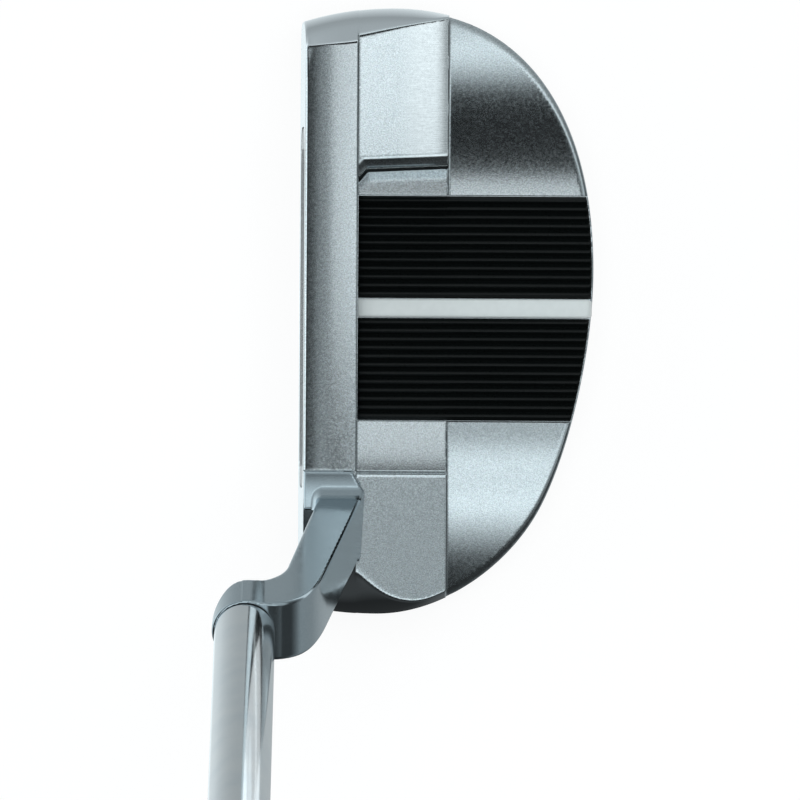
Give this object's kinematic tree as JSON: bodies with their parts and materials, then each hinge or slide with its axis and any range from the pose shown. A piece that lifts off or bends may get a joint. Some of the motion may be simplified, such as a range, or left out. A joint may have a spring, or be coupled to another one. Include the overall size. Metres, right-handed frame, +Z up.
{
  "type": "mallet putter",
  "caption": "Right-handed mid-mallet putter: steel head with a ribbed alignment deck and white sight bar, offset neck, stepped steel shaft and flat-fronted pistol grip.",
  "frame": {"origin": "on the flat of the sole, under the sight line, where the soled head rests", "axes": "+X from the face to the rear of the head (the face looks along -X), +Y from heel to toe, +Z up; the shaft leans 20 degrees from +Z towards -Y"},
  "size_m": [0.0728, 0.3912, 0.8146],
  "materials": {
    "blasted_steel": "satin, bead blasted with polished edges",
    "satin_steel": "satin",
    "shaft_chrome": "polished",
    "rib_black": "matte, moulded ribs",
    "sight_white": "semi-gloss",
    "insert_polymer": "matte, scored",
    "bond_tape": "matte",
    "epoxy": "glossy",
    "grip_skin": "matte, fine pebble",
    "grip_core": "matte",
    "cap_rubber": "smooth matte",
    "paper_tape": "matte"
  },
  "bodies": {
    "root": {"head_body": "blasted_steel", "face_insert": "insert_polymer", "face_insert_tape": "bond_tape", "toe_rib_panel": "rib_black", "heel_rib_panel": "rib_black", "sight_bar": "sight_white", "toe_panel_tape": "bond_tape", "heel_panel_tape": "bond_tape", "sight_bar_tape": "bond_tape", "neck": "satin_steel", "neck_bond": "epoxy", "shaft": "shaft_chrome", "shaft_epoxy": "epoxy", "grip_tape": "paper_tape", "grip_underlisting": "grip_core", "grip_wrap": "grip_skin", "grip_mouth_ring": "cap_rubber", "grip_butt_cap": "cap_rubber"}
  },
  "joints": []
}
